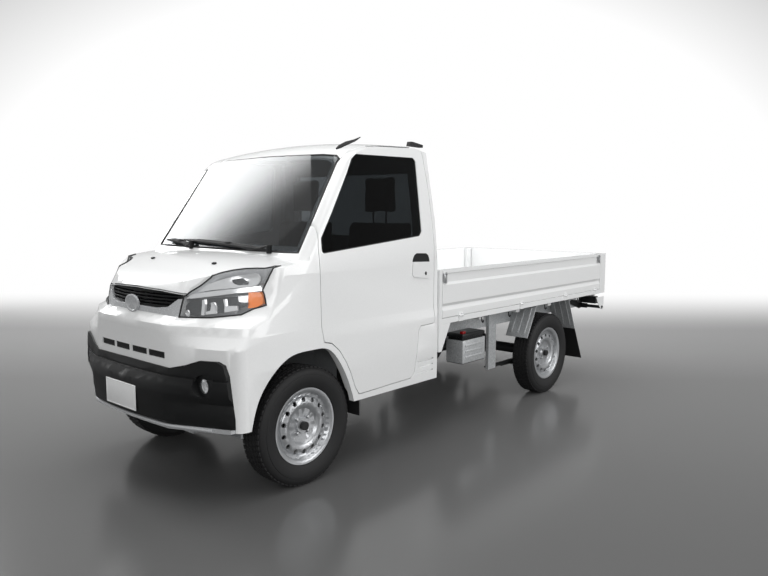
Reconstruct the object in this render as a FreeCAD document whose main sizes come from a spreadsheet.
import FreeCAD, Part
import math
import os
import re

import Sketcher
from FreeCAD import Placement, Rotation, Vector

# Light pickup truck with a short-nosed two-seat cab and a drop-side bed, in millimetres.
# Every y below counts backwards from the front axle, x to the truck's left, z up from the road.
# The last step moves each piece so that the truck's middle stands over the origin.

SIZES = (
    ("front_axle", -1353, "front axle, from the middle of the truck's length"),
    ("wheelbase", 2469, "front axle to rear axle"),
    ("half_wide", 700, "half width of cab and bed"),
    ("gap", 5, "shut line round doors, hood and gates"),
    ("seat_gap", 0.3, "clearance of a piece seated in another"),
    # wheels
    ("tyre_radius", 303.6, "rolling radius of a tyre"),
    ("tyre_wide", 157, "section width of a tyre"),
    ("wheel_x", 588, "centre of a tyre, from the middle"),
    ("rim_flange", 195.3, "radius of the rim's flange"),
    ("rim_seat", 178, "radius of the bead seat"),
    ("rim_wide", 122, "rim, flange to flange"),
    ("rim_wall", 7, "rim and disc metal"),
    ("vent_count", 14, "round vents in a disc"),
    ("vent_radius", 12, "radius of a vent"),
    ("vent_circle", 134, "radius of the circle of vents"),
    ("spindle_radius", 22, "spindle that carries a wheel"),
    ("hub_radius", 62, "hub flange behind a disc"),
    ("kingpin_low", 545, "kingpin axis at the lower joint"),
    ("kingpin_high", 450, "kingpin axis at the strut's top"),
    ("lower_joint_z", 200, "height of the lower joint"),
    ("strut_top_z", 690, "height of the strut's top"),
    ("strut_radius", 22, "strut tube"),
    # cab
    ("sill_z", 376, "lower edge of cab and bumper"),
    ("belt_z", 1055, "height where the sides start to lean in"),
    ("ledge_low", 757, "lower edge of the ledge along the sides"),
    ("ledge_high", 812, "upper edge of the ledge along the sides"),
    ("ledge_deep", 2.5, "depth of the ledge at the door's front edge"),
    ("ledge_taper", 0.0105, "how fast the ledge deepens towards the rear"),
    ("tuck_z", 590, "height below which the sides tuck in"),
    ("tuck", 0.055, "how far the sides tuck in per unit of height"),
    ("lean", 0.105, "how far the sides lean in per unit of height"),
    ("cowl_z", 1161, "foot of the windscreen"),
    ("cowl_y", -26, "foot of the windscreen at its corners"),
    ("battery_y", 1380, "front of the battery's tray"),
    ("battery_z", 390, "underside of the battery's tray"),
    ("tray_wide", 124, "width of the battery's tray"),
    ("tray_long", 250, "length of the battery's tray"),
    ("tray_wall", 8, "thickness of the battery's tray"),
    ("tray_high", 120, "height of the tray's outer wall"),
    ("cell_high", 190, "height of the battery on its tray"),
    ("bracket_wall", 6, "bracket between the rail and the battery"),
    ("bracket_high", 210, "height of the battery's bracket"),
    ("wiper_foot_z", 1167, "foot of a wiper's post on the cowl"),
    ("wiper_rise", 26, "height of a wiper's post"),
    ("wiper_post", 11, "radius of a wiper's post"),
    ("blade_thick", 10, "thickness of a wiper blade"),
    ("blade_high", 20, "height of a wiper blade"),
    ("screen_rake", 0.686, "windscreen run-back per unit of height"),
    ("screen_half", 630, "half width of the windscreen at its foot"),
    ("screen_bow", 19, "windscreen's bulge at its middle"),
    ("roof_z", 1777, "roof at its highest"),
    ("cab_rear", 1031, "rear wall of the cab"),
    ("rear_bend_z", 1330, "height where the rear wall starts to lean"),
    ("rear_lean", 0.1, "how far the rear wall leans per unit of height"),
    ("cab_corner", 22, "radius of the cab's upright rear corners"),
    ("door_wall", 30, "thickness of a door"),
    ("hood_wall", 18, "thickness of the hood"),
    ("lamp_gap", 9, "gap between hood and headlamp, filled by the lamp's seal"),
    ("body_wall", 35, "thickness of the cab's own walls"),
    ("ring_wall", 32, "depth of the inner door frame"),
    ("roof_wall", 26, "thickness of the roof"),
    ("glass_wall", 5, "thickness of a window"),
    ("hinge_y", 62, "upright hinge line of a door"),
    ("floor_z", 420, "foot well floor"),
    ("platform_z", 690, "platform under the seats"),
    ("floor_wall", 20, "thickness of floor and bulkhead"),
    ("house_inner", 335, "inner wall of a front wheel house"),
    ("house_top", 712, "top of a front wheel house"),
    ("house_wall", 12, "thickness of a wheel house"),
    ("hood_open_y", -40, "rear edge of the hood"),
    # bed
    ("bed_front_y", 1036, "front wall of the bed"),
    ("bed_rear_y", 3346, "rear face of the bed"),
    ("bed_floor_z", 740, "top of the bed floor"),
    ("bed_plate", 25, "depth of the bed floor's corrugation"),
    ("bed_top_z", 1029, "top of the gates"),
    ("bed_low_z", 699, "lower edge of the bed's side rail"),
    ("gate_wall", 28, "thickness of a gate"),
    ("gate_hinge_z", 735, "hinge line of the gates"),
    ("gate_hinge_out", 6, "hinge line outside the gate's face"),
    ("knuckle_radius", 6, "radius of a gate's hinge barrel"),
    ("knuckle_long", 44, "length of a gate's hinge barrel"),
    ("post_long", 100, "rear corner post along the truck"),
    ("post_wide", 62, "rear corner post across the truck"),
    # chassis
    ("rail_in", 440, "inner face of a frame rail"),
    ("rail_wide", 60, "width of a frame rail"),
    ("rail_high", 100, "height of a frame rail"),
    ("rail_top", 668, "top of a frame rail"),
    ("front_rail_in", 262, "inner face of a front rail"),
    ("beam_wide", 60, "width of a cross beam"),
    ("lamp_in", 515, "inner end of a tail lamp"),
    ("spring_z", 290, "height of a spring's front eye"),
    ("hitch_hole", 6.5, "radius of a hitch bolt hole in the rear beam"),
    ("tow_hole", 11, "radius of a tow eye's hole in the front beam"),
    ("steer_x", 330, "steering column, from the middle"),
    ("steer_radius", 180, "radius of the steering wheel"),
)

doc = FreeCAD.newDocument("light_truck")
sheet = doc.addObject("Spreadsheet::Sheet", "Sizes")
for row, (alias, value, note) in enumerate(SIZES, start=1):
    sheet.set(f"A{row}", note)
    sheet.set(f"B{row}", str(value))
    sheet.setAlias(f"B{row}", alias)
doc.recompute()

SIDES = {"left": 1, "right": -1}
nodes = []


def size(name):
    """A driving size, read from the sheet."""
    return float(sheet.get(name))


def cells(text):
    """The text of an expression, with each word turned into a cell of the sheet."""
    return re.sub(r"[a-z]\w*", lambda word: "Sizes." + word.group(), str(text))


def worth(text):
    """The number that an expression of the sheet's words comes to."""
    plain = re.sub(r"[a-z]\w*", lambda word: repr(size(word.group())), str(text))
    if re.search(r"[()*/+-]", plain):
        return reckon(plain)
    return float(FreeCAD.Units.Quantity(plain).Value)


def reckon(plain):
    """The value of an arithmetic text, worked out in a spare cell of the sheet."""
    sheet.set("D1", "=" + plain)
    sheet.recompute()
    return float(sheet.get("D1"))


def place(thing, corner):
    """Bind a piece's place to the sheet."""
    for axis, text in zip("xyz", corner):
        thing.setExpression("Placement.Base." + axis, cells(text))
    return thing


def box(name, corner, span):
    """A block from its lowest corner and its span, as expressions."""
    block = doc.addObject("Part::Box", name)
    for side, text in zip(("Length", "Width", "Height"), span):
        block.setExpression(side, cells(text))
    return place(block, corner)


def cylinder(name, start, axis, radius, length):
    """A round bar from the middle of one end along an axis."""
    bar = doc.addObject("Part::Cylinder", name)
    bar.Placement = Placement(Vector(), Rotation(Vector(0, 0, 1), Vector(*axis)))
    bar.setExpression("Radius", cells(radius))
    bar.setExpression("Height", cells(length))
    return place(bar, start)


def fuse(name, pieces):
    """One solid of several touching pieces."""
    whole = doc.addObject("Part::MultiFuse", name)
    whole.Shapes = pieces
    return whole


def cut(name, base, tool):
    """A piece less a tool."""
    left = doc.addObject("Part::Cut", name)
    left.Base = base
    left.Tool = tool
    return left


def form(name, shape):
    """A free form whose shape this script works out from the sheet."""
    thing = doc.addObject("Part::Feature", name)
    thing.Shape = shape
    return thing


def origin_plane(body, role):
    """One of a body's own origin planes."""
    return next(plane for plane in body.Origin.OriginFeatures if plane.Role == role)


def outline(body, name, role, points, start="0"):
    """A closed outline of straight edges on a plane, each corner bound to the sheet."""
    sketch = body.newObject("Sketcher::SketchObject", name)
    sketch.AttachmentSupport = (origin_plane(body, role), "")
    sketch.MapMode = "FlatFace"
    sign = "-" if role == "XZ_Plane" else ""
    sketch.setExpression("AttachmentOffset.Base.z", f"{sign}({cells(start)})")
    values = [(worth(across), worth(up)) for across, up in points]
    for here, there in zip(values, values[1:] + values[:1]):
        sketch.addGeometry(Part.LineSegment(Vector(*here, 0), Vector(*there, 0)))
    count = len(points)
    for index in range(count):
        sketch.addConstraint(Sketcher.Constraint("Coincident", index, 2, (index + 1) % count, 1))
    for index, (texts, value) in enumerate(zip(points, values)):
        for kind, axis_line, text, number in (("DistanceX", -2, texts[0], value[0]),
                                              ("DistanceY", -1, texts[1], value[1])):
            if abs(number) < 1e-9:
                sketch.addConstraint(Sketcher.Constraint("PointOnObject", index, 1, axis_line))
                continue
            ends = (-1, 1, index, 1) if number > 0 else (index, 1, -1, 1)
            at = sketch.addConstraint(Sketcher.Constraint(kind, *ends, abs(number)))
            expression = cells(text) if number > 0 else f"-({cells(text)})"
            sketch.setExpression(f"Constraints[{at}]", expression)
    return sketch


def prism(name, role, points, start, depth):
    """A body padded from an outline on a plane, from a start along +X, +Y or +Z."""
    body = doc.addObject("PartDesign::Body", name)
    sketch = outline(body, name + "_outline", role, points, start)
    pad = body.newObject("PartDesign::Pad", name + "_pad")
    pad.Profile = sketch
    pad.Reversed = role == "XZ_Plane"
    pad.setExpression("Length", cells(depth))
    return body


def node(name, thing):
    """Keep a piece under its name and stand it where the truck's middle is over the origin."""
    thing.Label = name
    shift = thing.ExpressionEngine
    bound = [text for path, text in shift if path.endswith("Placement.Base.y")]
    along = f"Sizes.front_axle + {bound[0]}" if bound else "Sizes.front_axle"
    thing.setExpression("Placement.Base.y", along)
    nodes.append(thing)
    return thing


def mirrored(shape):
    """The same shape on the truck's other side."""
    return shape.mirror(Vector(), Vector(1, 0, 0))


def both(shape):
    """A shape and its mirror image together."""
    return Part.makeCompound([shape, mirrored(shape)])


def upright_prism(points, low, high):
    """A block over an outline seen from above."""
    wire = Part.makePolygon([Vector(x, y, low) for x, y in points + points[:1]])
    return Part.Face(wire).extrude(Vector(0, 0, high - low))


def side_prism(points, near, far):
    """A block over an outline seen from the side, between two values of x."""
    wire = Part.makePolygon([Vector(near, y, z) for y, z in points + points[:1]])
    return Part.Face(wire).extrude(Vector(far - near, 0, 0))


def front_prism(points, near, far):
    """A block over an outline seen from the front, between two values of y."""
    wire = Part.makePolygon([Vector(x, near, z) for x, z in points + points[:1]])
    return Part.Face(wire).extrude(Vector(0, far - near, 0))


def smooth_side_prism(points, near, far):
    """A block over a smooth closed outline seen from the side."""
    curve = Part.BSplineCurve()
    curve.interpolate([Vector(near, y, z) for y, z in points], PeriodicFlag=True)
    return Part.Face(Part.Wire(curve.toShape())).extrude(Vector(far - near, 0, 0))


# The nose, level by level: height, then how far ahead of the front axle the surface lies
# in the middle, at the fold, at the lamp, at the corner and where the side starts.
NOSE_INSETS = (360, 160, 34, 0)
NOSE = (
    (330, 575, 566, 508, 448, 392),
    (640, 575, 568, 510, 450, 396),
    (757, 577, 568, 512, 452, 398),
    (812, 579, 568, 470, 406, 345),
    (850, 582, 566, 462, 390, 310),
    (886, 558, 507, 415, 300, 235),
    (940, 553, 500, 375, 262, 200),
    (990, 545, 491, 352, 235, 180),
    (1080, 500, 440, 320, 215, 160),
    (1200, 430, 380, 290, 190, 130),
)
# The hood's line over the nose, seen from the side: how far ahead of the front axle, height.
HOOD_LINE = ((700, 968), (560, 1000), (470, 1052), (360, 1096), (240, 1130), (120, 1153), (0, 1166))
HOOD_CROWN = 22


def half_at(height):
    """Half width of the cab at a height."""
    return min(size("half_wide"), size("half_wide") - size("lean") * (height - size("belt_z")))


def flipped(point):
    """A point's place on the truck's other side."""
    return Vector(-point.x, point.y, point.z)


def corner_arc(side, rear, radius, height):
    """The start, middle and end of an upright rear corner's arc."""
    bend = radius * (1 - math.sqrt(0.5))
    return [Vector(side, rear - radius, height), Vector(side - bend, rear - bend, height),
            Vector(side - radius, rear, height)]


def flank(points):
    """The curve from the nose's fold round to the straight side."""
    curve = Part.BSplineCurve()
    curve.interpolate(Points=points, InitialTangent=points[1] - points[0], FinalTangent=Vector(0, 1, 0))
    return curve.toShape()


def nose_wire(level, inset):
    """The outline of the cab's lower part at one level, drawn in by an inset."""
    height, *ahead = level
    side = half_at(height) - inset
    stations = [0] + [side - step for step in NOSE_INSETS]
    middle, *right = [Vector(x, inset - depth, height) for x, depth in zip(stations, ahead)]
    left_flank = flank(right).mirror(Vector(), Vector(1, 0, 0))
    turn = corner_arc(side, size("cab_rear") - inset, max(1, size("cab_corner") - inset), height)
    edges = [
        Part.Arc(flipped(right[0]), middle, right[0]).toShape(),
        flank(right),
        Part.makeLine(right[-1], turn[0]),
        Part.Arc(*turn).toShape(),
        Part.makeLine(turn[2], flipped(turn[2])),
        Part.Arc(*[flipped(point) for point in reversed(turn)]).toShape(),
        Part.makeLine(flipped(turn[0]), flipped(right[-1])),
        left_flank,
    ]
    return Part.Wire(edges)


def hood_block(inset):
    """All that lies under the hood's crowned surface."""
    wires = []
    for ahead, height in HOOD_LINE:
        reach = size("half_wide") + 60
        top, foot = height - inset, 100
        edge = top - HOOD_CROWN * (reach / size("screen_half")) ** 2
        corners = [Vector(reach, -ahead, edge), Vector(reach, -ahead, foot), Vector(-reach, -ahead, foot),
                   Vector(-reach, -ahead, edge)]
        crown = Part.Arc(corners[3], Vector(0, -ahead, top), corners[0]).toShape()
        lines = [Part.makeLine(a, b) for a, b in zip(corners, corners[1:])]
        wires.append(Part.Wire([crown] + lines))
    nose = Part.makeLoft(wires, True, False)
    rear_box = Part.makeBox(2 * size("half_wide") + 120, 1200, size("cowl_z") - inset - 100,
                            Vector(-size("half_wide") - 60, 0, 100))
    return nose.fuse(rear_box)


def lower_body(inset):
    """The cab below its windows, with the nose, as one filled form."""
    levels = [nose_wire(level, inset) for level in NOSE]
    whole = Part.makeLoft(levels, True, True)
    low = size("sill_z") if inset == 0 else NOSE[0][0]
    floor = Part.makeBox(2000, 2400, 2000, Vector(-1000, -900, low))
    return whole.common(hood_block(inset)).common(floor)


def screen_y(height):
    """The windscreen's corner edge at a height."""
    return size("cowl_y") + size("screen_rake") * (height - size("cowl_z"))


def screen_x(height):
    """Half width of the windscreen at a height."""
    return size("screen_half") - size("lean") * (height - size("cowl_z"))


def upper_wire(height, inset):
    """The outline of the cab's upper part at one height, drawn in by an inset."""
    lean_back = max(0, height - size("rear_bend_z")) * size("rear_lean")
    rear = size("cab_rear") - lean_back - inset
    front = screen_y(height) + inset * 1.2
    side = half_at(height) - inset
    glass = screen_x(height) - inset
    corner = 50
    start, end = Vector(glass, front, height), Vector(side, front + corner, height)
    middle = Vector(side - (side - glass) * 0.24, front + corner * 0.24, height)
    turn = corner_arc(side, rear, max(1, size("cab_corner") - inset), height)
    edges = [
        Part.Arc(flipped(start), Vector(0, front - size("screen_bow"), height), start).toShape(),
        Part.Arc(start, middle, end).toShape(),
        Part.makeLine(end, turn[0]),
        Part.Arc(*turn).toShape(),
        Part.makeLine(turn[2], flipped(turn[2])),
        Part.Arc(*[flipped(point) for point in reversed(turn)]).toShape(),
        Part.makeLine(flipped(turn[0]), flipped(end)),
        Part.Arc(flipped(end), flipped(middle), flipped(start)).toShape(),
    ]
    return Part.Wire(edges)


# The roof's line along the middle: distance behind the front axle, depth under the highest point.
ROOF_LINE = ((-200, 330), (200, 160), (343, 79), (450, 32), (590, 6), (720, 0), (880, 3), (1100, 14))
ROOF_CROWN = 36


def roof_block(inset):
    """All that lies under the crowned roof."""
    wires = []
    for behind, drop in ROOF_LINE:
        reach, foot = size("half_wide"), 900
        top = size("roof_z") - drop - inset
        edge = top - ROOF_CROWN * (reach / 630) ** 2
        corners = [Vector(reach, behind, edge), Vector(reach, behind, foot), Vector(-reach, behind, foot),
                   Vector(-reach, behind, edge)]
        crown = Part.Arc(corners[3], Vector(0, behind, top), corners[0]).toShape()
        lines = [Part.makeLine(a, b) for a, b in zip(corners, corners[1:])]
        wires.append(Part.Wire([crown] + lines))
    return Part.makeLoft(wires, True, False)


UPPER_BODIES = {}


def upper_body(inset):
    """The cab from its belt to its roof as one filled form, kept for the next use."""
    if inset not in UPPER_BODIES:
        heights = (1060, size("rear_bend_z"), 1840)
        whole = Part.makeLoft([upper_wire(height, inset) for height in heights], True, True)
        roof_inset = min(inset, size("roof_wall") + max(0, inset - size("body_wall")))
        UPPER_BODIES[inset] = whole.common(roof_block(roof_inset))
    return UPPER_BODIES[inset]


def ledge_tool(inset):
    """What lies outside the sides above their ledge, which deepens behind the door's front edge."""
    low, high, top, far = size("ledge_low"), size("ledge_high"), 1500, 900
    side = size("half_wide") - inset
    sections = []
    for along in (-900, size("hinge_y"), 1100):
        deep = size("ledge_deep") + size("ledge_taper") * max(0, along - size("hinge_y"))
        start = low - 2 * (high - low) / deep
        points = [(side + 2, start), (side - deep, high), (side - deep, top), (far, top), (far, start)]
        corners = [Vector(x, along, z) for x, z in points]
        sections.append(Part.makePolygon(corners + corners[:1]))
    return Part.makeLoft(sections, True, True)


def tuck_tool(inset):
    """What lies outside the sides where they tuck in behind the front wheels."""
    side, top, foot = size("half_wide") - inset, size("tuck_z"), 300
    points = [(side + 2, top + 2 / size("tuck")), (side - size("tuck") * (top - foot), foot), (900, foot),
              (900, top + 2 / size("tuck"))]
    return front_prism(points, 200, 1100)


def cab_form(inset):
    """The whole cab as one filled form."""
    whole = lower_body(inset).fuse(upper_body(inset)).removeSplitter()
    tools = [ledge_tool(inset)]
    if inset <= size("body_wall") + 1:
        tools.append(tuck_tool(inset))
    return whole.cut(tools + [mirrored(tool) for tool in tools])


# A door's outline seen from the side: distance behind the front axle, height.
DOOR_OUTLINE = (
    (347, 408), (314, 453), (277, 536), (237, 606), (190, 670), (136, 714), (84, 726), (69, 803),
    (65, 913), (62, 1072), (62, 1204), (70, 1280), (80, 1330), (290, 1672), (330, 1710), (400, 1726),
    (900, 1742), (932, 1734), (944, 1700), (973, 1521), (992, 1300), (995, 1080), (992, 718), (858, 715),
    (838, 689), (824, 550), (810, 449), (781, 418),
)
WINDOW_OUTLINE = (
    (96, 1170), (84, 1182), (84, 1246), (173, 1374), (301, 1573), (346, 1652), (382, 1678), (856, 1684),
    (876, 1664), (886, 1262), (864, 1237),
)
# A front wheel arch seen from the side.
ARCH_OUTLINE = (
    (-392, 300), (-371, 400), (-330, 515), (-245, 620), (-130, 690), (0, 700), (110, 688), (190, 612),
    (247, 522), (290, 430), (312, 330), (120, 200), (-200, 200),
)
# The left headlamp, half the grille and the dark lower bumper seen from the front: x, height.
LAMP_OUTLINE = (
    (338, 884), (350, 992), (368, 1028), (399, 1062), (446, 1097), (525, 1116), (664, 1122), (650, 1060),
    (639, 1014), (651, 985), (670, 945), (634, 931), (601, 904), (494, 890), (421, 886),
)
GRILLE_OUTLINE = ((0, 894), (180, 891), (333, 882), (346, 988), (200, 1000), (0, 1006))
TRIM_OUTLINE = ((0, 894), (180, 891), (332, 883), (342, 968), (318, 966), (262, 926), (180, 917),
                (0, 921))
LOWER_OUTLINE = (
    (0, 655), (340, 652), (440, 676), (520, 704), (610, 706), (640, 690), (654, 640), (664, 527),
    (672, 440), (672, 330), (0, 330),
)
# The dark lower bumper, level by level, as the nose above.
LOWER_LEVELS = (
    (330, 585, 575, 485, 425, 375),
    (388, 600, 584, 494, 432, 380),
    (404, 632, 600, 508, 446, 384),
    (474, 636, 606, 510, 448, 386),
    (500, 638, 608, 503, 440, 382),
    (541, 640, 612, 533, 469, 392),
    (580, 630, 606, 534, 470, 392),
    (606, 604, 590, 530, 470, 392),
    (655, 582, 575, 526, 470, 390),
    (740, 572, 564, 520, 462, 386),
)
# The hood seen from above, its left half: x, distance behind the front axle.
HOOD_OUTLINE = (
    (0, -640), (343, -640), (345, -488), (366, -458), (399, -422), (427, -388), (446, -338), (478, -297),
    (525, -258), (580, -232), (618, -217), (633, -186), (635, -45), (0, -62),
)


OUTLINE_ROUND = 16


def moved_outline(points, step):
    """An outline seen from the side with rounded corners, moved outwards by a step."""
    wire = Part.makePolygon([Vector(0, y, z) for y, z in list(points) + [points[0]]])
    inner = wire.makeOffset2D(step - OUTLINE_ROUND, 2, False, False)
    return inner.makeOffset2D(OUTLINE_ROUND, 0, False, False)


def grown_side_prism(points, step, near, far):
    """A block over a grown outline seen from the side."""
    wire = moved_outline(points, step)
    wire.translate(Vector(near, 0, 0))
    return Part.Face(wire).extrude(Vector(far - near, 0, 0))


def whole_outline(half):
    """A symmetric outline from its left half, which starts and ends in the middle."""
    return list(half) + [(-across, other) for across, other in reversed(half) if across > 0]


def screen_wedge(offset):
    """All that lies outside the windscreen's left edge, and the whole side below it."""
    foot, top = size("cowl_z"), 1900
    points = [(520, 300), (520, foot), (screen_x(foot) + offset, foot), (screen_x(top) + offset, top),
              (1000, top), (1000, 300)]
    return front_prism(points, -800, 1400)


FORMS = {}


def form_at(inset):
    """The whole cab as one filled form, kept for the next use."""
    if inset not in FORMS:
        FORMS[inset] = cab_form(inset)
    return FORMS[inset]


def lower_form(inset):
    """The dark lower bumper as one filled form."""
    levels = [nose_wire(level, inset) for level in LOWER_LEVELS]
    return Part.makeLoft(levels, True, True)


def window_prism(step):
    """The block that cuts a side window."""
    return grown_side_prism(WINDOW_OUTLINE, step, 560, 720).common(screen_wedge(12))


def screen_prism(step):
    """The block that cuts the windscreen, drawn in by a step."""
    low, high = size("cowl_z") + 14 + step, 1652
    low_x, high_x = screen_x(low) - 4 - step, screen_x(high) - 4 - step
    half = [(0, low), (low_x, low), (high_x, high - step), (high_x - 40, high + 20 - step),
            (high_x - 150, high + 30 - step), (0, high + 36 - step)]
    return front_prism(whole_outline(half), -200, 470)


def rear_prism(step):
    """The block that cuts the rear window, drawn in by a step."""
    low, high, half = 1215 + step, 1610 - step, 520 - step
    points = [(-half, low), (half, low), (half - 25, high), (-half + 25, high)]
    return front_prism(points, 850, 1150)


def build_glass():
    """Windscreen, rear window and the two door windows, each let in from outside."""
    seat = size("seat_gap")
    flush = upper_body(0).cut(upper_body(size("glass_wall")))
    screen = flush.common(screen_prism(seat))
    deep = upper_body(8).cut(upper_body(8 + size("glass_wall")))
    rear = deep.common(rear_prism(seat))
    node("cab_glass", form("cab_glass", Part.makeCompound([screen, rear])))
    pane = deep.common(window_prism(-seat))
    node("door_glass_left", form("door_glass_left", pane))
    node("door_glass_right", form("door_glass_right", mirrored(pane)))


def door_block(step, wedge):
    """The block that holds a door, grown by a step."""
    return grown_side_prism(DOOR_OUTLINE, step, 400, 900).common(screen_wedge(wedge))


def build_doors(outer):
    """Both doors with their window frames."""
    half_gap = size("gap") / 2
    skin = outer.cut(form_at(size("door_wall")))
    door = skin.common(door_block(-half_gap, half_gap)).cut(window_prism(0))
    node("door_left", form("door_left", door))
    node("door_right", form("door_right", mirrored(door)))


def build_panels(outer):
    """The cab's own panels, each cut from the shell at its real seams."""
    gap = size("gap")
    wall = size("body_wall")
    shell = outer.cut(form_at(wall))
    doorway = both(door_block(gap / 2, -gap / 2))
    shell = shell.cut(doorway)
    build_hood(outer)
    shell = shell.cut(hood_block_at(gap / 2))
    arches = both(smooth_side_prism(ARCH_OUTLINE, 400, 760))
    lamp_hole = both(front_prism(list(LAMP_OUTLINE), -620, -150))
    grille_hole = front_prism(whole_outline(GRILLE_OUTLINE), -640, -420)
    lower_hole = front_prism(whole_outline(LOWER_OUTLINE), -720, -388)
    shell = shell.cut(arches).cut(lamp_hole).cut(grille_hole).cut(lower_hole)
    flush = upper_body(0).cut(upper_body(size("glass_wall") + size("seat_gap")))
    shell = shell.cut(flush.common(screen_prism(0))).cut(screen_prism(28)).cut(rear_prism(0))
    slots = [Part.makeBox(142, 120, 32, Vector(x, -640, 689)) for x in (-302, -151, 9, 160)]
    shell = shell.cut(Part.makeCompound(slots))
    roof_tool = side_prism([(150, 1640), (955, 1640), (955, 1722), (1200, 1722), (1200, 1900),
                            (150, 1900)],
                           -800, 800)
    node("roof", form("roof", shell.common(roof_tool)))
    shell = shell.cut(roof_tool)
    bumper_tool = side_prism([(-900, 200), (-150, 200), (-150, 690), (-215, 804), (-900, 804)], -800, 800)
    node("bumper", form("bumper", shell.common(bumper_tool)))
    shell = shell.cut(bumper_tool)
    narrow = size("body_wall") + 5
    foot = size("rail_top") + 3
    rear_half = [(0, foot), (size("half_wide") - narrow, foot),
                 (size("half_wide") - narrow, size("belt_z")),
                 (half_at(1722) - narrow, 1722), (0, 1722)]
    rear_tool = front_prism(whole_outline(rear_half), 930, 1200)
    under = Part.makeBox(2 * (size("half_wide") - narrow), 270, foot - 300,
                         Vector(narrow - size("half_wide"), 930, 300))
    shell = shell.cut(under)
    node("rear_wall", form("rear_wall", shell.common(rear_tool)))
    shell = shell.cut(rear_tool)
    front_tool = side_prism([(-900, 200), (350, 200), (350, 1100), (420, 1660), (-900, 1660)], -800, 800)
    front = max(shell.common(front_tool).fuse(hood_rests()).Solids, key=lambda solid: solid.Volume)
    node("cab_front", form("cab_front", front))
    sides = shell.cut(front_tool)
    build_sides(sides)


def hood_block_at(step):
    """The block that holds the hood, grown by a step."""
    outline = whole_outline(HOOD_OUTLINE) + [HOOD_OUTLINE[0]]
    wire = Part.makePolygon([Vector(x, y, 900) for x, y in outline])
    plan = Part.Face(wire.makeOffset2D(step, 2, False, False)).extrude(Vector(0, 0, 500))
    over_grille = [(0, 1010 - step), (200, 1004 - step), (360, 991 - step), (760, 991 - step),
                   (760, 1400),
                   (0, 1400)]
    return plan.common(front_prism(whole_outline(over_grille), -800, 100))


def build_hood(outer):
    """The hood, hinged at its rear edge."""
    skin = outer.cut(form_at(size("hood_wall")))
    node("hood", form("hood", skin.common(hood_block_at(-size("gap") / 2))))


def hood_rests():
    """The flanges at the fenders that the hood's edges come down on."""
    seat = form_at(size("hood_wall") + size("seat_gap")).cut(form_at(size("body_wall")))
    rest = seat.common(Part.makeBox(60, 40, 130, Vector(585, -145, 1050)))
    return both(rest)


def build_sides(sides):
    """Rocker, rear quarter and the frame that each door closes against."""
    inner = form_at(size("body_wall") + size("ring_wall"))
    lining = form_at(size("body_wall")).cut(inner)
    around = grown_side_prism(DOOR_OUTLINE, 20, 300, 900)
    strip = around.cut(grown_side_prism(DOOR_OUTLINE, -42, 200, 950))
    swing = Part.makeBox(38, 48, 75, Vector(622, 72, 1215))
    ring = lining.common(strip.common(screen_wedge(-50))).cut(swing)
    left = [piece for piece in sides.Solids if piece.CenterOfMass.x > 0]
    side = ring
    for piece in left:
        side = side.fuse(piece)
    louvres = [Part.makeBox(40, 150, 10, Vector(size("half_wide") - 18, 836, z)) for z in (431, 467, 500)]
    side = side.cut(Part.makeCompound(louvres))
    node("cab_side_left", form("cab_side_left", side))
    node("cab_side_right", form("cab_side_right", mirrored(side)))


def build_front_trim():
    """Grille, its bright trim, lamps, dark lower bumper and the bright lip under it."""
    seat = size("seat_gap")
    grille = form_at(14).cut(form_at(40)).common(front_prism(whole_outline(GRILLE_OUTLINE), -640, -420))
    grille = grille.cut(hood_block_at(size("gap") / 2))
    slats = [Part.makeBox(620, 200, 9, Vector(-310, -640, z)) for z in (930, 946, 962, 978)]
    grille = grille.cut(Part.makeCompound(slats).common(front_prism(
        [(-300, 926), (300, 926), (330, 982), (0, 996), (-330, 982)], -640, -420)))
    node("grille", form("grille", grille))
    trim = form_at(2).cut(form_at(14)).common(front_prism(whole_outline(TRIM_OUTLINE), -640, -420))
    node("grille_trim", form("grille_trim", trim))
    lamp = form_at(0).cut(form_at(60)).common(front_prism(list(LAMP_OUTLINE), -620, -150))
    lamp = lamp.cut(hood_block_at(size("lamp_gap") - size("gap") / 2))
    node("headlamps", form("headlamps", both(lamp)))
    block = lower_form(0).cut(lower_form(size("body_wall")))
    floor = Part.makeBox(2000, 2400, 800, Vector(-1000, -900, 388))
    block = block.common(floor).common(front_prism(whole_outline(LOWER_OUTLINE), -720, -388))
    pocket = Part.makeCylinder(52, 46, Vector(541, -566, 588), Vector(0, 1, 0))
    lens = Part.makeCylinder(34, 60, Vector(541, -522, 588), Vector(0, 1, 0))
    band = Part.makeBox(2000, 2400, 8, Vector(-1000, -900, 616))
    groove = lower_form(-5).cut(lower_form(6)).common(band)
    node("bumper_lower", form("bumper_lower", block.cut(both(pocket.fuse(lens))).cut(groove)))
    glass = Part.makeCylinder(34 - seat, 40, Vector(541, -518, 588), Vector(0, 1, 0))
    node("fog_lamps", form("fog_lamps", both(glass)))
    ring = lower_form(-6).cut(lower_form(22))
    lip = ring.common(Part.makeBox(1290, 700, 388 - 366 - seat, Vector(-645, -900, 366)))
    node("bumper_lip", form("bumper_lip", lip))


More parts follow.
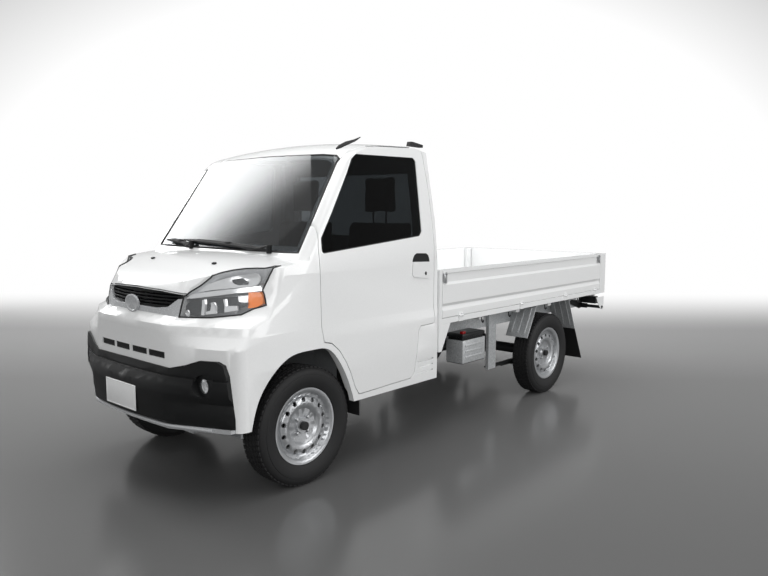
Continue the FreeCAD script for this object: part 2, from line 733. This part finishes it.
def build_cab_floor():
    """Foot well, bulkhead, seat platform and the wheel houses of the front wheels."""
    wall, floor, high = size("floor_wall"), size("floor_z"), size("platform_z")
    reach = size("half_wide") - size("body_wall") - size("ring_wall") - size("seat_gap")
    front, rise, rear = -75, 470, size("cab_rear") - size("body_wall") - size("seat_gap")
    path = [(front, floor - wall), (rise + wall, floor - wall), (rise + wall, high - wall),
            (rear, high - wall), (rear, high), (rise, high), (rise, floor), (front + wall + 20, floor),
            (front + wall, floor + 60), (front + wall, 1120), (front, 1120)]
    sheet_form = side_prism(path, -reach, reach)
    inner, top, thick = size("house_inner"), size("house_top"), size("house_wall")
    house_front, house_rear = -388, 362
    side = size("half_wide") - size("body_wall") - size("ring_wall") - 1
    outer_box = Part.makeBox(side - inner + thick, house_rear - house_front, top - 330,
                             Vector(inner - thick, house_front, 330))
    inner_box = Part.makeBox(side - inner + 200, house_rear - house_front - 2 * thick, top - thick - 200,
                             Vector(inner, house_front + thick, 200))
    keep = form_at(size("body_wall") + 1)
    house = outer_box.common(keep)
    whole = sheet_form.common(keep).fuse(both(house)).cut(both(inner_box))
    engine_bay = Part.makeBox(480, 400, 400, Vector(-240, rise + wall, 200))
    along = (size("strut_top_z") - size("lower_joint_z")) / (size("kingpin_high") - size("kingpin_low"))
    top_x = size("kingpin_high") + 2 / along
    strut_top = Part.makeCylinder(40, 16, Vector(top_x, 0, size("strut_top_z") - 1))
    node("cab_floor", form("cab_floor", whole.cut(engine_bay).fuse(both(strut_top))))


def build_dashboard():
    """Instrument panel with the steering column."""
    panel = prism("panel", "YZ_Plane", [("-54.7", "860"), ("60", "800"), ("190", "830"), ("235", "930"),
                                        ("225", "1060"), ("180", "1098"), ("-20", "1104"),
                                        ("-54.7", "1102")],
                  "-600", "1200")
    column = cylinder("column", ("steer_x", "130", "748"), (0, 0.643, 0.766), "26", "327.2")
    node("dashboard", fuse("dashboard", [panel, column]))


def build_steering_wheel():
    """Steering wheel: a ring on three spokes."""
    tilt = Rotation(Vector(0, 0, 1), Vector(0, 0.643, 0.766))
    radius = size("steer_radius")
    ring = Part.makeTorus(radius, 14)
    hub = Part.makeCylinder(44, 40, Vector(0, 0, -30))
    spokes = [Part.makeBox(radius, 30, 12, Vector(0, -15, -8)) for _ in range(3)]
    for spoke, angle in zip(spokes, (0, 180, 270)):
        spoke.rotate(Vector(), Vector(0, 0, 1), angle)
    wheel = ring.fuse([hub] + spokes)
    wheel.Placement = Placement(Vector(size("steer_x"), 90 + 0.643 * 420, 700 + 0.766 * 420), tilt)
    node("steering_wheel", form("steering_wheel", Part.makeCompound([wheel])))


def build_seats():
    """Two plain seats, each a cushion with its back and head rest."""
    profile = [(500, 700), (490, 800), (520, 838), (780, 822), (850, 1290), (880, 1340), (940, 1340),
               (950, 1300),
               (905, 760), (880, 700)]
    body = side_prism(profile, 90, 580)
    head = side_prism([(868, 1375), (872, 1590), (900, 1606), (940, 1596), (950, 1400), (935, 1375)], 215,
                      450)
    post = Part.makeCylinder(7, 60, Vector(280, 905, 1330))
    other = Part.makeCylinder(7, 60, Vector(385, 905, 1330))
    seat = body.fuse([head, post, other])
    lifted = seat.translated(Vector(0, 0, size("platform_z") - 700 + size("seat_gap")))
    node("seats", form("seats", both(lifted)))


WIPERS = (
    # pivot, tip
    (Vector(432, -36, 1182), Vector(-405, -22, 1208)),
    (Vector(-258, -36, 1182), Vector(-545, -26, 1203)),
)


def wiper(pivot, tip):
    """A post on the cowl and the blade that it carries, from its pivot to its tip."""
    along = tip - pivot
    blade = Part.makeBox(along.Length, size("blade_thick"), size("blade_high"))
    blade.translate(Vector(0, -size("blade_thick") / 2, -size("blade_high") / 2))
    blade.Placement = Placement(pivot, Rotation(Vector(1, 0, 0), along)) * blade.Placement
    foot = Vector(pivot.x, pivot.y, size("wiper_foot_z"))
    return Part.makeCylinder(size("wiper_post"), size("wiper_rise"), foot).fuse(blade)


def build_wipers():
    """Two parked wipers over the foot of the windscreen."""
    clear = upper_body(-1)
    shapes = [wiper(pivot, tip).cut(clear) for pivot, tip in WIPERS]
    node("wipers", form("wipers", Part.makeCompound(shapes)))


def build_bed():
    """The load floor with its side rails, cross beams and rear posts, and the front wall."""
    floor = box("floor_plate", ("-half_wide + gate_wall + 10", "bed_front_y + 26",
                                "bed_floor_z - bed_plate"),
                ("2 * (half_wide - gate_wall - 10)", "bed_rear_y - bed_front_y - 40 - 26", "bed_plate"))
    pieces = [floor]
    for name, side in SIDES.items():
        low = "half_wide - gate_wall - 12" if side > 0 else "-half_wide"
        pieces.append(box("side_rail_" + name, (low, "bed_front_y + 26", "bed_low_z"),
                          ("gate_wall + 12", "bed_rear_y - bed_front_y - 30",
                           "bed_floor_z - bed_low_z - 7.5")))
        low = "half_wide - post_wide" if side > 0 else "-half_wide"
        pieces.append(box("post_" + name, (low, "bed_rear_y - post_long", "bed_low_z"),
                          ("post_wide", "post_long - 4", "bed_top_z - bed_low_z")))
        saddle = "half_wide - 4" if side > 0 else "-half_wide - gate_hinge_out"
        for index, along in enumerate(GATE_HINGES):
            pieces.append(box(f"saddle_{name}_{index}",
                              (saddle, f"{along} - knuckle_long / 2", "bed_low_z"),
                              ("gate_hinge_out + 4", "knuckle_long",
                               "gate_hinge_z - knuckle_radius - 0.5 - bed_low_z")))
    sill_rear = "bed_rear_y - gate_hinge_out - knuckle_radius"
    pieces.append(box("rear_sill", ("-half_wide", f"{sill_rear} - 58", "bed_low_z"),
                      ("2 * half_wide", "58", "bed_floor_z - bed_low_z - 11")))
    for low in ("lamp_in + 20", "-lamp_in - 115"):
        pieces.append(box("lamp_bracket", (low, "bed_rear_y - 56", "664 + seat_gap"),
                          ("95", "20", "bed_low_z - 664 - seat_gap + 4")))
    for index, middle in enumerate(TAIL_HINGES):
        pieces.append(box(f"tail_saddle_{index}",
                          (f"{middle} - knuckle_long / 2", f"{sill_rear} - 4", "bed_low_z"),
                          ("knuckle_long", "gate_hinge_out + 4",
                           "gate_hinge_z - knuckle_radius - 0.5 - bed_low_z")))
    for index, along in enumerate(BED_BEAMS):
        pieces.append(box(f"bed_beam_{index}", ("-half_wide + gate_wall + 20", along, "rail_top"),
                          ("2 * (half_wide - gate_wall - 20)", "50",
                           "bed_floor_z - bed_plate - rail_top")))
    node("bed_floor", fuse("bed_floor", pieces))
    wall = box("bed_wall", ("-half_wide", "bed_front_y", "bed_low_z"),
               ("2 * half_wide", "26", "bed_top_z - bed_low_z"))
    aprons = [prism(f"apron_{name}", "YZ_Plane", [("bed_front_y", "bed_low_z"), ("bed_front_y", "531"),
                                                  ("bed_front_y + 24", "531"), ("bed_front_y + 114",
                                                                                "bed_low_z")],
                    "half_wide - 18" if side > 0 else "-half_wide", "18") for name, side in SIDES.items()]
    node("bed_front", fuse("bed_front", [wall] + aprons))


BED_BEAMS = ("bed_front_y + 60", "bed_front_y + 500", "bed_front_y + 960", "bed_front_y + 1420",
             "bed_front_y + 1880")
TAIL_HINGES = ("-450", "0", "450")
GATE_HINGES = ("bed_front_y + 218", "bed_front_y + 951", "bed_front_y + 1598", "bed_front_y + 2110")


def gate_profile(face, wall, low, top):
    """A gate's ribbed section: a rolled top rail and two raised bands, as expressions."""
    step = "9"
    return [(f"{face} - {wall}", low), (face, low), (face, f"{low} + 42"),
            (f"{face} - {step}", f"{low} + 66"),
            (f"{face} - {step}", f"{low} + 70"), (face, f"{low} + 86"), (face, f"{top} - 92"),
            (f"{face} - {step}", f"{top} - 76"), (f"{face} - {step}", f"{top} - 24"),
            (face, f"{top} - 22"),
            (face, top), (f"{face} - {wall}", top)]


def build_gates():
    """Two side gates and a tailgate, each with hinge barrels along its lower edge."""
    low = "gate_hinge_z + 3"
    section = gate_profile("half_wide", "gate_wall", low, "bed_top_z")
    for name, side in SIDES.items():
        points = section if side > 0 else [(f"-({across})", up) for across, up in section]
        panel = prism(f"side_panel_{name}", "XZ_Plane", points, "bed_front_y + 31",
                      "bed_rear_y - post_long - gap - bed_front_y - 31")
        pieces = [panel]
        for index, along in enumerate(GATE_HINGES):
            middle = "half_wide + gate_hinge_out" if side > 0 else "-half_wide - gate_hinge_out"
            pieces.append(cylinder(f"barrel_{name}_{index}", (middle, f"{along} - knuckle_long / 2",
                                                             "gate_hinge_z"), (0, 1, 0),
                                   "knuckle_radius", "knuckle_long"))
            leaf = "half_wide - 4" if side > 0 else "-half_wide - 2"
            pieces.append(box(f"leaf_{name}_{index}",
                              (leaf, f"{along} - knuckle_long / 2", "gate_hinge_z"),
                              ("6", "knuckle_long", "20")))
        node(f"gate_{name}", fuse(f"gate_{name}", pieces))
    rear = "bed_rear_y - gate_hinge_out - knuckle_radius"
    section = gate_profile(rear, "gate_wall", low, "bed_top_z")
    across = "half_wide - post_wide - gap"
    panel = prism("tail_panel", "YZ_Plane", section, f"-({across})", f"2 * ({across})")
    pieces = [panel]
    for index, middle in enumerate(TAIL_HINGES):
        pieces.append(cylinder(f"tail_barrel_{index}", (f"{middle} - knuckle_long / 2",
                                                       "bed_rear_y - knuckle_radius", "gate_hinge_z"),
                                                       (1, 0, 0),
                               "knuckle_radius", "knuckle_long"))
        pieces.append(box(f"tail_leaf_{index}", (f"{middle} - knuckle_long / 2",
                                                "bed_rear_y - gate_hinge_out - knuckle_radius - 4",
                                                "gate_hinge_z"),
                          ("knuckle_long", "6", "20")))
    node("tailgate", fuse("tailgate", pieces))


def build_frame():
    """Ladder frame: rear rails, front rails, cross beams, spring hangers and under-run brackets."""
    pieces = []
    for name, side in SIDES.items():
        low = "rail_in" if side > 0 else "-rail_in - rail_wide"
        pieces.append(box("rail_" + name, (low, "560", "rail_top - rail_high"),
                          ("rail_wide", "bed_rear_y - 560 - 60", "rail_high")))
        low = "front_rail_in" if side > 0 else "-front_rail_in - rail_wide"
        pieces.append(box("front_rail_" + name, (low, "-440", "floor_z - floor_wall - rail_high"),
                          ("rail_wide", "1060", "rail_high")))
        low = "rail_in + rail_wide" if side > 0 else "-rail_in - rail_wide - 24"
        pieces.append(box("front_hanger_" + name, (low, "wheelbase - 620", "spring_z - 30"),
                          ("24", "95", "rail_top - spring_z + 30 - 10")))
        low = "rail_in" if side > 0 else "-rail_in - rail_wide"
        pieces.append(box("rear_hanger_" + name, (low, "wheelbase + 520", "520"),
                          ("rail_wide", "110", "rail_top - 520 - 10")))
    pieces.append(box("battery_bracket", ("rail_in + rail_wide", "battery_y", "battery_z + tray_wall"),
                      ("bracket_wall", "tray_long", "bracket_high")))
    for index, (along, low) in enumerate(FRAME_BEAMS):
        pieces.append(box(f"frame_beam_{index}", ("-rail_in - rail_wide", along, low),
                          ("2 * (rail_in + rail_wide)", "beam_wide", f"rail_top - ({low}) - 4")))
    pieces.append(box("front_beam", ("-front_rail_in - rail_wide", "-440",
                                     "floor_z - floor_wall - rail_high"),
                      ("2 * (front_rail_in + rail_wide)", "60", "rail_high")))
    holes = [cylinder(f"hitch_hole_{index}", (across, "bed_rear_y - 130 - 5", height), (0, 1, 0),
                      "hitch_hole", "beam_wide + 10")
             for index, (across, height) in enumerate(HITCH_HOLES)]
    holes += [cylinder(f"tow_hole_{name}", (f"{sign}(front_rail_in + rail_wide / 2)", "-440 - 5",
                                            "floor_z - 70"),
                       (0, 1, 0), "tow_hole", "beam_wide + 10") for name,
                       sign in (("left", ""), ("right", "-"))]
    node("frame", cut("frame", fuse("frame_whole", pieces), fuse("frame_holes", holes)))


HITCH_HOLES = (("60", "rail_top - 20"), ("-60", "rail_top - 20"), ("60", "rail_top - 54"),
               ("-60", "rail_top - 54"))
FRAME_BEAMS = (("560", "floor_z - floor_wall - rail_high"), ("1260", "rail_top - 70"),
               ("wheelbase - 640", "rail_top - 70"), ("wheelbase - 130", "rail_top - 30"),
               ("wheelbase + 500", "rail_top - 70"), ("bed_rear_y - 130", "rail_top - 70"))


def build_rear_bar():
    """Round under-run bar on two plates under the rear of the bed."""
    bar = cylinder("under_bar", ("-560", "bed_rear_y - 34", "577"), (1, 0, 0), "20", "1120")
    pieces = [bar]
    for name, side in SIDES.items():
        low = "rail_in + rail_wide" if side > 0 else "-rail_in - rail_wide - 8"
        pieces.append(prism(f"bar_plate_{name}", "YZ_Plane",
                            [("bed_rear_y - 254", "612"), ("bed_rear_y - 69", "552"),
                                                              ("bed_rear_y - 20", "557"),
                                                              ("bed_rear_y - 21", "664"),
                                                              ("bed_rear_y - 154", "664")], low, "8"))
    node("rear_bar", fuse("rear_bar", pieces))


def build_mudguards():
    """Ribbed plates ahead of and behind each rear wheel, and the rubber flaps."""
    plates = []
    axle, top = size("wheelbase"), size("bed_low_z") - size("seat_gap")
    inner, outer = size("rail_in") + size("rail_wide") + 1, 682
    for start, foot_y, foot in ((-232, -360, 470), (262, 380, 448)):
        def face(height):
            return axle + start + (foot_y - start) * (top - height) / (top - foot)
        plate = side_prism([(face(top), top), (face(foot), foot), (face(foot) + 6, foot),
                            (face(top) + 6, top)],
                           inner, outer)
        high, low = top - 20, foot + 30
        ribs = [side_prism([(face(high) - 6, high), (face(low) - 6, low), (face(low) + 3, low),
                            (face(high) + 3, high)], x, x + 14) for x in (530, 584, 638)]
        plates.append(plate.fuse(ribs))
    foot = 448 - size("seat_gap")
    axle_flap = side_prism([(axle + 380, foot), (axle + 512, 190), (axle + 518, 190), (axle + 386, foot)],
                           inner, outer)
    front_flap = front_prism([(520, 290), (690, 290), (690, 371), (632, 371), (632, 524), (520, 524)],
                             344.7, 349.7)
    node("mudguards",
         form("mudguards", Part.makeCompound(plates + [mirrored(plate) for plate in plates])))
    node("flaps", form("flaps", Part.makeCompound([axle_flap, front_flap, mirrored(axle_flap),
                                                   mirrored(front_flap)])))


def build_rear_axle():
    """Axle tube, differential, drums, propeller shaft and leaf springs."""
    reach = "wheel_x - 4"
    tube = cylinder("axle_tube", (f"-({reach})", "wheelbase", "tyre_radius"), (1, 0, 0), "38",
                    f"2 * ({reach})")
    ball = doc.addObject("Part::Sphere", "differential")
    ball.Radius = 105
    place(ball, ("0", "wheelbase", "tyre_radius"))
    shaft = cylinder("propeller_shaft", ("0", "1300", "tyre_radius + 80"), (0, 1, -0.07), "32", "1120")
    pieces = [tube, ball, shaft]
    for name, side in SIDES.items():
        start = "wheel_x - 62" if side > 0 else "-wheel_x - 20"
        pieces.append(cylinder("drum_" + name, (start, "wheelbase", "tyre_radius"), (1, 0, 0), "118",
                               "82"))
        start = "wheel_x - 10" if side > 0 else "-wheel_x - 60"
        pieces.append(cylinder("spindle_" + name, (start, "wheelbase", "tyre_radius"), (1, 0, 0),
                               "spindle_radius", "70"))
    node("rear_axle", fuse("rear_axle", pieces))


def build_springs():
    """Leaf springs under the rear axle, each a bowed pack hung from its hangers."""
    axle, low = size("wheelbase"), size("spring_z")
    seat = size("tyre_radius") - 38 - size("seat_gap")
    packs = []
    for half, thick in ((560, 10), (400, 9), (260, 9)):
        packs.append((half, thick))
    top, shape = seat, None
    for half, thick in packs:
        leaf = Part.makeBox(50, 2 * half, thick, Vector(449.7, axle - half, top - thick))
        shape = leaf if shape is None else shape.fuse(leaf)
        top -= thick
    shackle = Part.makeBox(40, 20, 520 - size("seat_gap") - seat + 10, Vector(455, axle + 540, seat - 10))
    shape = shape.fuse(shackle)
    node("leaf_springs", form("leaf_springs", both(shape)))


def build_engine():
    """Engine and gearbox as one plain block under the seats, with its exhaust and the fuel tank."""
    seat = size("seat_gap")
    block = Part.makeBox(440, 400 - seat, 330, Vector(-220, 620 + seat, 290))
    box_shape = Part.makeBox(240, 260, 260, Vector(-120, 1020, 300))
    node("engine", form("engine", block.fuse(box_shape)))
    pipe = Part.makeCylinder(22, 1900, Vector(-300, 1000, 420), Vector(0, 1, 0))
    muffler = Part.makeCylinder(85, 420, Vector(-300, 2780, 440), Vector(0, 1, 0))
    under_beam = size("rail_top") - 70 - seat
    straps = [Part.makeBox(12, 12, under_beam - 440, Vector(-306, 1284, 440)),
              Part.makeBox(12, 20, under_beam - 520, Vector(-306, 2990, 520))]
    node("exhaust", form("exhaust", pipe.fuse([muffler] + straps)))
    near = size("rail_in") + size("rail_wide") + size("seat_gap")
    tank = Part.makeBox(150, 560, 220, Vector(-near - 150, 1200, 400))
    node("fuel_tank", form("fuel_tank", tank))


def build_battery():
    """Battery on its tray on the left rail."""
    near = size("rail_in") + size("rail_wide") + size("bracket_wall") + size("seat_gap")
    start, low, wide, long = (size(word) for word in ("battery_y", "battery_z", "tray_wide", "tray_long"))
    plate, wall_high, cell_high = (size(word) for word in ("tray_wall", "tray_high", "cell_high"))
    tray = Part.makeBox(wide, long, plate, Vector(near, start, low))
    wall = Part.makeBox(6, long, wall_high, Vector(near + wide - 6, start, low))
    cell = Part.makeBox(wide - 12, long - 14, cell_high, Vector(near + 3, start + 7, low + plate))
    node("battery", form("battery", tray.fuse([wall, cell])))


def build_front_axle():
    """Cross member, lower arms and struts that guide the front knuckles."""
    beam = box("arm_beam", ("-front_rail_in - 30", "-40", "180"),
               ("2 * (front_rail_in + 30)", "80", "70"))
    pieces = [beam]
    for name, side in SIDES.items():
        low = "front_rail_in - 20" if side > 0 else "-kingpin_low - 20"
        pieces.append(box("arm_" + name, (low, "-25", "lower_joint_z - 24"),
                          ("kingpin_low - front_rail_in + 40", "50", "22")))
        low = "front_rail_in" if side > 0 else "-front_rail_in - 40"
        pieces.append(box("mount_" + name, (low, "-40", "200"),
                          ("40", "80", "floor_z - floor_wall - rail_high - 200")))
    arms = fuse("front_suspension", pieces)
    node("front_suspension", arms)


def build_knuckles():
    """Front knuckles with their spindles, brake drums and steering arms."""
    low_x, high_x = size("kingpin_low"), size("kingpin_high")
    low_z, high_z = size("lower_joint_z"), size("strut_top_z")
    axis = Vector(high_x - low_x, 0, high_z - low_z)
    centre = Vector(0, 0, 0)
    hub_z = size("tyre_radius")
    post = Part.makeCylinder(size("strut_radius"), axis.Length - 12, Vector(low_x, 0, low_z + 6), axis)
    stud = Part.makeCylinder(8, 14, Vector(low_x, 0, low_z), axis)
    drum = Part.makeCylinder(100, 60, Vector(size("wheel_x") - 60, 0, hub_z), Vector(1, 0, 0))
    spindle = Part.makeCylinder(size("spindle_radius"), 100, Vector(size("wheel_x") - 40, 0, hub_z),
                                Vector(1, 0, 0))
    arm = Part.makeBox(24, 130, 20, Vector(500, 0, 240))
    knuckle = post.fuse([stud, drum, spindle, arm])
    node("knuckle_left", form("knuckle_left", knuckle))
    node("knuckle_right", form("knuckle_right", mirrored(knuckle)))


def revolved(name, points):
    """A body turned about its own X axis from a profile of distances along it and radii."""
    body = doc.addObject("PartDesign::Body", name)
    sketch = outline(body, name + "_profile", "XZ_Plane", points)
    turn = body.newObject("PartDesign::Revolution", name + "_turn")
    turn.Profile = sketch
    turn.ReferenceAxis = (sketch, ["H_Axis"])
    turn.Angle = 360
    return body


RIM_PROFILE = (
    ("-rim_wide / 2", "rim_flange - rim_wall"), ("-rim_wide / 2", "rim_flange"),
    ("-rim_wide / 2 + rim_wall", "rim_flange"), ("-rim_wide / 2 + rim_wall + 3", "rim_seat + 1"),
    ("-32", "rim_seat"), ("-14", "rim_seat - 18"), ("14", "rim_seat - 18"), ("32", "rim_seat"),
    ("rim_wide / 2 - rim_wall - 3", "rim_seat + 1"), ("rim_wide / 2 - rim_wall", "rim_flange"),
    ("rim_wide / 2", "rim_flange"), ("rim_wide / 2", "rim_flange - rim_wall"),
    ("rim_wide / 2 - rim_wall", "rim_seat - rim_wall"), ("34", "rim_seat - rim_wall"),
    ("30", "rim_seat - 26"), ("44", "vent_circle + 10"), ("50", "vent_circle - 16"), ("46", "98"),
    ("30", "86"), ("28", "44"), ("40", "38"), ("40", "spindle_radius + 0.3"),
    ("20", "spindle_radius + 0.3"), ("20", "88"), ("36", "102"), ("40", "vent_circle - 16"),
    ("36", "vent_circle + 4"), ("20", "rim_seat - 26"), ("-10", "rim_seat - 18 - rim_wall"),
    ("-34", "rim_seat - rim_wall"), ("-rim_wide / 2 + rim_wall", "rim_seat - rim_wall"),
)
TYRE_PROFILE = (
    ("-rim_wide / 2 + rim_wall + 3.6", "rim_seat + 1.6"),
    ("-rim_wide / 2 + rim_wall + 0.5", "rim_flange + 1"),
    ("-rim_wide / 2 - 2", "rim_flange + 5"), ("-tyre_wide / 2", "tyre_radius * 0.8"),
    ("-tyre_wide / 2 + 6", "tyre_radius - 18"), ("-tyre_wide / 2 + 20", "tyre_radius - 3"),
    ("-20", "tyre_radius"), ("20", "tyre_radius"), ("tyre_wide / 2 - 20", "tyre_radius - 3"),
    ("tyre_wide / 2 - 6", "tyre_radius - 18"), ("tyre_wide / 2", "tyre_radius * 0.8"),
    ("rim_wide / 2 + 2", "rim_flange + 5"), ("rim_wide / 2 - rim_wall - 0.5", "rim_flange + 1"),
    ("rim_wide / 2 - rim_wall - 3.6", "rim_seat + 1.6"), ("33", "rim_seat + 0.6"),
    ("-33", "rim_seat + 0.6"),
)


def build_wheel(name, side, along):
    """A steel wheel with its ring of vents, and its tyre."""
    rim = revolved("rim_" + name, RIM_PROFILE)
    doc.recompute()
    hole_sketch = rim.newObject("Sketcher::SketchObject", f"vent_{name}")
    hole_sketch.AttachmentSupport = (origin_plane(rim, "YZ_Plane"), "")
    hole_sketch.MapMode = "FlatFace"
    hole_sketch.addGeometry(Part.Circle(Vector(0, size("vent_circle"), 0), Vector(0, 0, 1),
                                        size("vent_radius")))
    hole_sketch.addConstraint(Sketcher.Constraint("PointOnObject", 0, 3, -2))
    at = hole_sketch.addConstraint(Sketcher.Constraint("DistanceY", -1, 1, 0, 3, size("vent_circle")))
    hole_sketch.setExpression(f"Constraints[{at}]", cells("vent_circle"))
    at = hole_sketch.addConstraint(Sketcher.Constraint("Radius", 0, size("vent_radius")))
    hole_sketch.setExpression(f"Constraints[{at}]", cells("vent_radius"))
    vent = rim.newObject("PartDesign::Pocket", f"vent_cut_{name}")
    vent.Profile = hole_sketch
    vent.Reversed = True
    vent.setExpression("Length", "70 mm")
    ring = rim.newObject("PartDesign::PolarPattern", f"vents_{name}")
    ring.Originals = [vent]
    axis = next(line for line in rim.Origin.OriginFeatures if line.Role == "X_Axis")
    ring.Axis = (axis, [""])
    ring.Angle = 360
    ring.setExpression("Occurrences", cells("vent_count"))
    rim.Tip = ring
    tyre = revolved("tyre_" + name, TYRE_PROFILE)
    for piece in (rim, tyre):
        if side < 0:
            piece.Placement = Placement(Vector(), Rotation(Vector(0, 0, 1), 180))
        place(piece, ("wheel_x" if side > 0 else "-wheel_x", along, "tyre_radius"))
    node("wheel_" + name, rim)
    node("tyre_" + name, tyre)


def build_rear_lamps():
    """Tail lamps hung under the rear of the bed."""
    lamp = box("lamp_left", ("lamp_in", "bed_rear_y - 66", "604"), ("135", "46", "60"))
    other = box("lamp_right", ("-lamp_in - 135", "bed_rear_y - 66", "604"), ("135", "46", "60"))
    whole = doc.addObject("Part::Compound", "rear_lamps")
    whole.Links = [lamp, other]
    node("rear_lamps", whole)


def main():
    """Build every piece, check it and write it."""
    outer = form_at(0)
    build_doors(outer)
    build_glass()
    build_panels(outer)
    build_front_trim()
    build_cab_floor()
    build_dashboard()
    build_steering_wheel()
    build_seats()
    build_wipers()
    build_bed()
    build_gates()
    build_frame()
    build_rear_bar()
    build_mudguards()
    build_rear_axle()
    build_springs()
    build_engine()
    build_battery()
    build_front_axle()
    build_knuckles()
    build_rear_lamps()
    for axle_name, along in (("front", "0"), ("rear", "wheelbase")):
        for name, side in SIDES.items():
            build_wheel(f"{axle_name}_{name}", side, along)
    doc.recompute()
    bad = [thing.Name for thing in doc.Objects if {"Invalid", "Error"} & set(thing.State)]
    if bad:
        raise SystemExit("failed: " + ", ".join(bad))
    os.makedirs("parts", exist_ok=True)
    for piece in nodes:
        shape = piece.Shape
        if shape.isNull() or not shape.isValid():
            raise SystemExit("bad shape: " + piece.Label)
        print(piece.Label, len(shape.Solids), round(shape.Volume / 1e6, 2))
        shape.exportStep(f"parts/{piece.Label}.step")


main()
